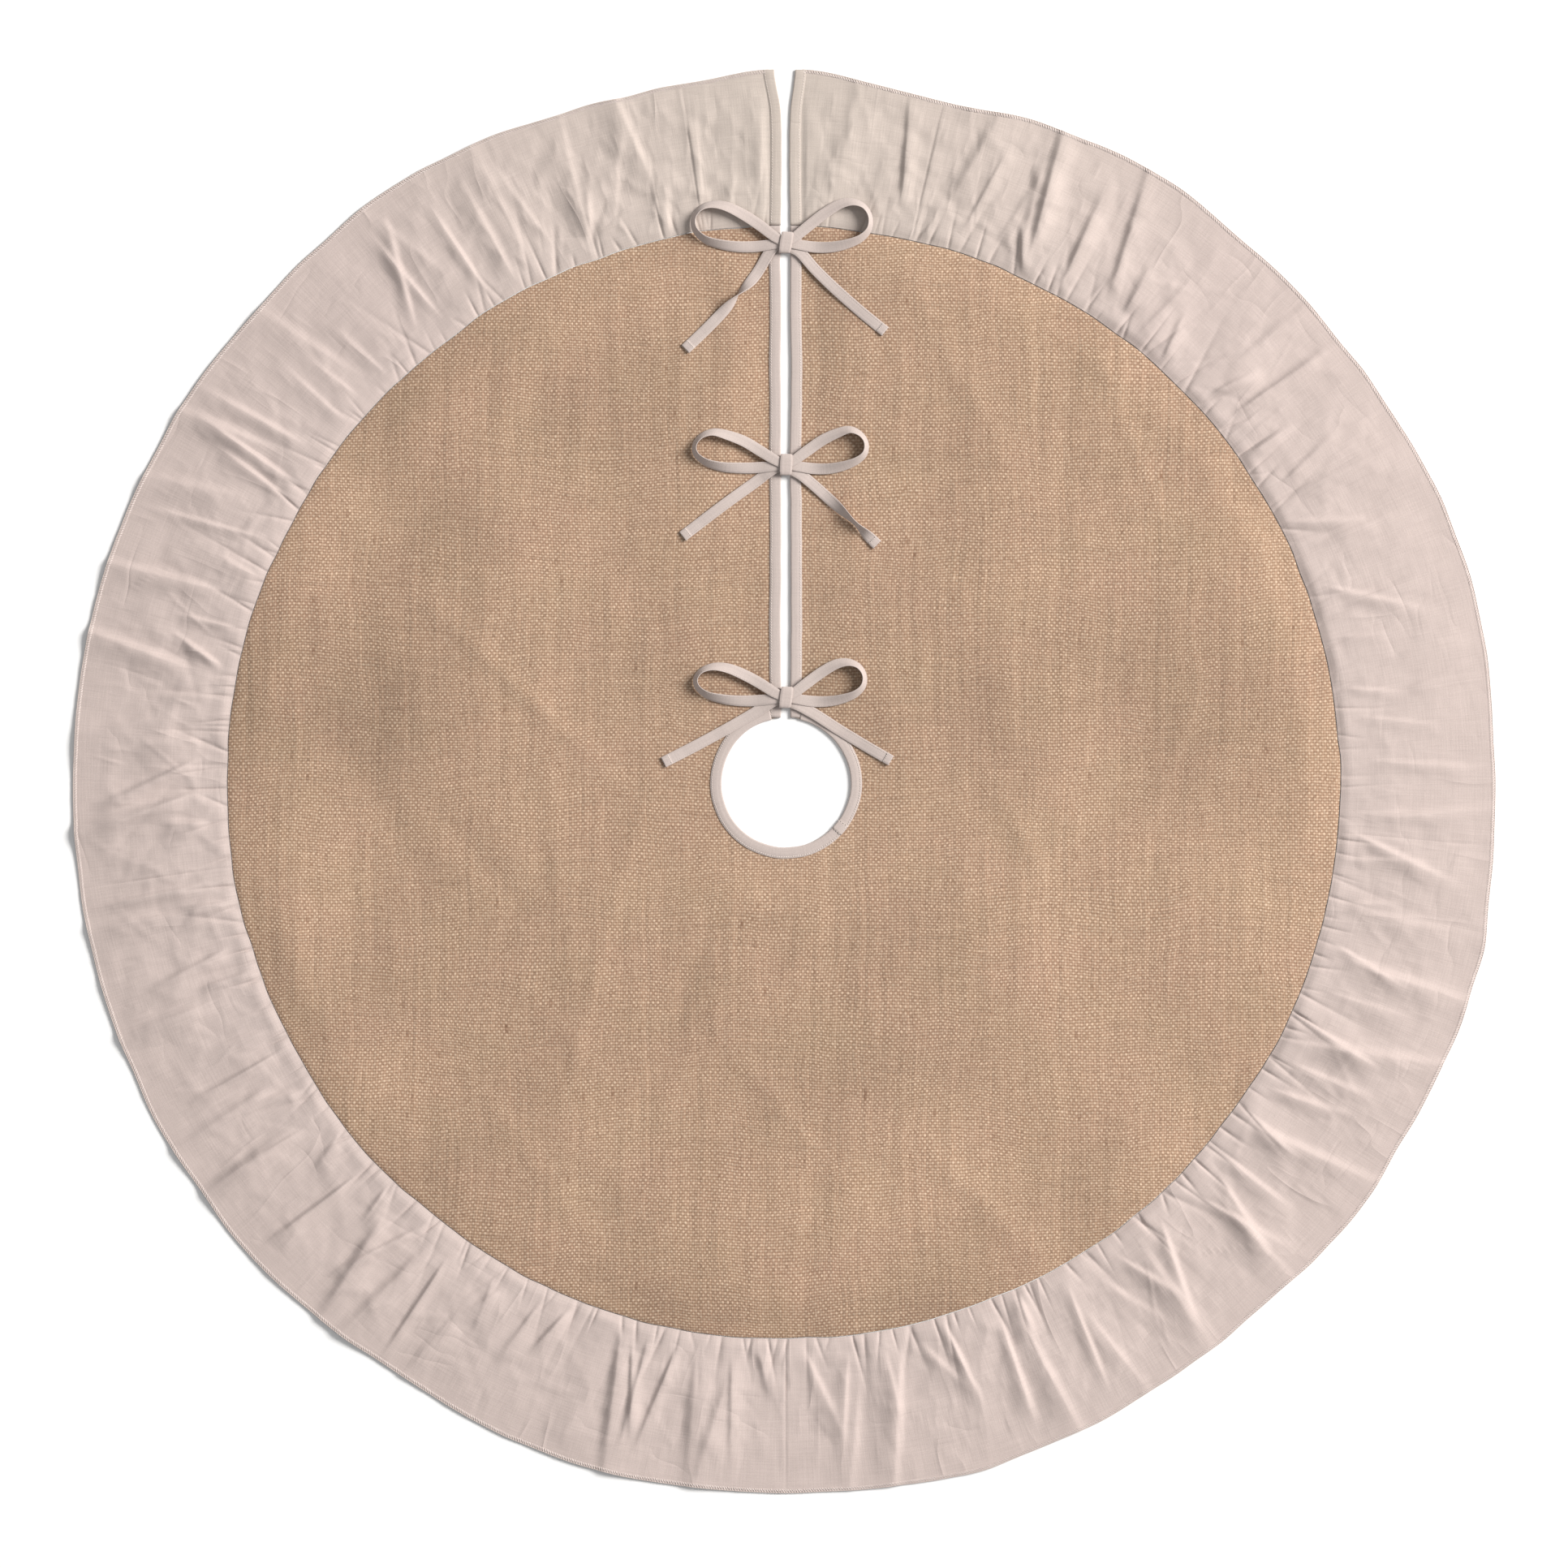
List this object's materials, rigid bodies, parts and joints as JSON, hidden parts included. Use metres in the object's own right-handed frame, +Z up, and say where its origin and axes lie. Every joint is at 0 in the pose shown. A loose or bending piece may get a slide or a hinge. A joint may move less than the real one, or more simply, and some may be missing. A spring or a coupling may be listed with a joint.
{
  "type": "tree skirt",
  "caption": "Round burlap Christmas tree skirt with a gathered linen ruffle, a bound trunk hole and a slit closed by tied bows.",
  "frame": {"origin": "on the floor under the centre of the trunk hole", "axes": "+Z up from the floor, +Y from the hole along the slit to the outer edge, +X to the right of the slit seen from above"},
  "size_m": [1.2192, 1.219, 0.0119],
  "materials": {
    "burlap": "matte",
    "linen": "matte",
    "linen_tape": "matte",
    "thread": "matte"
  },
  "bodies": {
    "back": {"burlap_back": "burlap", "ruffle_back": "linen", "seam_overlock_back": "thread", "edge_stitching_back": "thread", "hole_binding_back": "linen_tape"},
    "front": {"burlap_front_left": "burlap", "ruffle_front_left": "linen", "seam_overlock_front_left": "thread", "edge_stitching_front_left": "thread", "hole_binding_front_left": "linen_tape", "burlap_front_right": "burlap", "ruffle_front_right": "linen", "seam_overlock_front_right": "thread", "edge_stitching_front_right": "thread", "hole_binding_front_right": "linen_tape", "slit_binding_left": "linen_tape", "ruffle_end_band_left": "linen", "slit_binding_right": "linen_tape", "ruffle_end_band_right": "linen", "bow_outer_knot": "linen_tape", "bow_outer_anchor_left": "linen_tape", "bow_outer_anchor_right": "linen_tape", "bow_middle_knot": "linen_tape", "bow_middle_anchor_left": "linen_tape", "bow_middle_anchor_right": "linen_tape", "bow_inner_knot": "linen_tape", "bow_inner_anchor_left": "linen_tape", "bow_inner_anchor_right": "linen_tape"},
    "outer_loop_left": {"bow_outer_loop_left": "linen_tape"},
    "outer_tail_left": {"bow_outer_tail_left": "linen_tape"},
    "outer_loop_right": {"bow_outer_loop_right": "linen_tape"},
    "outer_tail_right": {"bow_outer_tail_right": "linen_tape"},
    "middle_loop_left": {"bow_middle_loop_left": "linen_tape"},
    "middle_tail_left": {"bow_middle_tail_left": "linen_tape"},
    "middle_loop_right": {"bow_middle_loop_right": "linen_tape"},
    "middle_tail_right": {"bow_middle_tail_right": "linen_tape"},
    "inner_loop_left": {"bow_inner_loop_left": "linen_tape"},
    "inner_tail_left": {"bow_inner_tail_left": "linen_tape"},
    "inner_loop_right": {"bow_inner_loop_right": "linen_tape"},
    "inner_tail_right": {"bow_inner_tail_right": "linen_tape"}
  },
  "joints": [
    {"name": "front_fold", "type": "hinge", "parent": "back", "child": "front", "pos_m": [0, 0, 0.0145], "axis": [1, 0, 0], "range_deg": [0, 170]},
    {"name": "outer_loop_left_swing", "type": "hinge", "parent": "front", "child": "outer_loop_left", "pos_m": [-0.00625, 0.46, 0.0055], "axis": [0, 0, -1], "range_deg": [-5, 15]},
    {"name": "outer_tail_left_swing", "type": "hinge", "parent": "front", "child": "outer_tail_left", "pos_m": [-0.00625, 0.456, 0.0044], "axis": [0, 0, -1], "range_deg": [-10, 5]},
    {"name": "outer_loop_right_swing", "type": "hinge", "parent": "front", "child": "outer_loop_right", "pos_m": [0.00625, 0.46, 0.0055], "axis": [0, 0, 1], "range_deg": [-5, 15]},
    {"name": "outer_tail_right_swing", "type": "hinge", "parent": "front", "child": "outer_tail_right", "pos_m": [0.00625, 0.456, 0.0044], "axis": [0, 0, 1], "range_deg": [-10, 5]},
    {"name": "middle_loop_left_swing", "type": "hinge", "parent": "front", "child": "middle_loop_left", "pos_m": [-0.00625, 0.271, 0.0055], "axis": [0, 0, -1], "range_deg": [-5, 15]},
    {"name": "middle_tail_left_swing", "type": "hinge", "parent": "front", "child": "middle_tail_left", "pos_m": [-0.00625, 0.267, 0.0044], "axis": [0, 0, -1], "range_deg": [-10, 5]},
    {"name": "middle_loop_right_swing", "type": "hinge", "parent": "front", "child": "middle_loop_right", "pos_m": [0.00625, 0.271, 0.0055], "axis": [0, 0, 1], "range_deg": [-5, 15]},
    {"name": "middle_tail_right_swing", "type": "hinge", "parent": "front", "child": "middle_tail_right", "pos_m": [0.00625, 0.267, 0.0044], "axis": [0, 0, 1], "range_deg": [-10, 5]},
    {"name": "inner_loop_left_swing", "type": "hinge", "parent": "front", "child": "inner_loop_left", "pos_m": [-0.00625, 0.073, 0.0055], "axis": [0, 0, -1], "range_deg": [-5, 15]},
    {"name": "inner_tail_left_swing", "type": "hinge", "parent": "front", "child": "inner_tail_left", "pos_m": [-0.00625, 0.069, 0.0044], "axis": [0, 0, -1], "range_deg": [-10, 5]},
    {"name": "inner_loop_right_swing", "type": "hinge", "parent": "front", "child": "inner_loop_right", "pos_m": [0.00625, 0.073, 0.0055], "axis": [0, 0, 1], "range_deg": [-5, 15]},
    {"name": "inner_tail_right_swing", "type": "hinge", "parent": "front", "child": "inner_tail_right", "pos_m": [0.00625, 0.069, 0.0044], "axis": [0, 0, 1], "range_deg": [-10, 5]}
  ]
}
